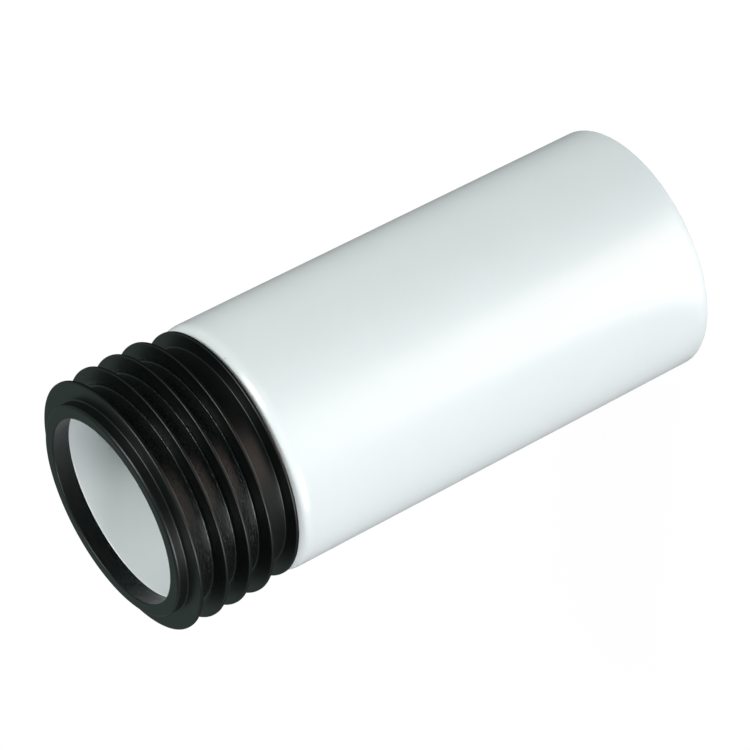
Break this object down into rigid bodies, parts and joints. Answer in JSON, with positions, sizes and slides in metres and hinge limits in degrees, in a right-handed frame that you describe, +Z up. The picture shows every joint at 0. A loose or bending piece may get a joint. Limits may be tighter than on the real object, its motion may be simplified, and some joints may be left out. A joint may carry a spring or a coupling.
{
  "type": "pan connector extension",
  "caption": "Short plain-ended soil pipe, stepped down through a rounded shoulder to a neck that carries a black rubber finned seal, for lengthening a toilet pan's connection to a soil pipe.",
  "frame": {"origin": "centre of the plain end's flat face, on the pipe's axis, which is the lowest point of the part as it stands", "axes": "+Z up the pipe's axis, from the plain end to the seal's nose; X and Y are any pair square to it, because the part is round"},
  "size_m": [0.112, 0.112, 0.2645],
  "materials": {
    "white_plastic": "smooth moulded plastic with a soft sheen",
    "black_rubber": "moulded rubber, matt to satin, with a fine grain"
  },
  "bodies": {
    "root": {"pipe_body": "white_plastic", "finned_seal": "black_rubber"}
  },
  "joints": []
}
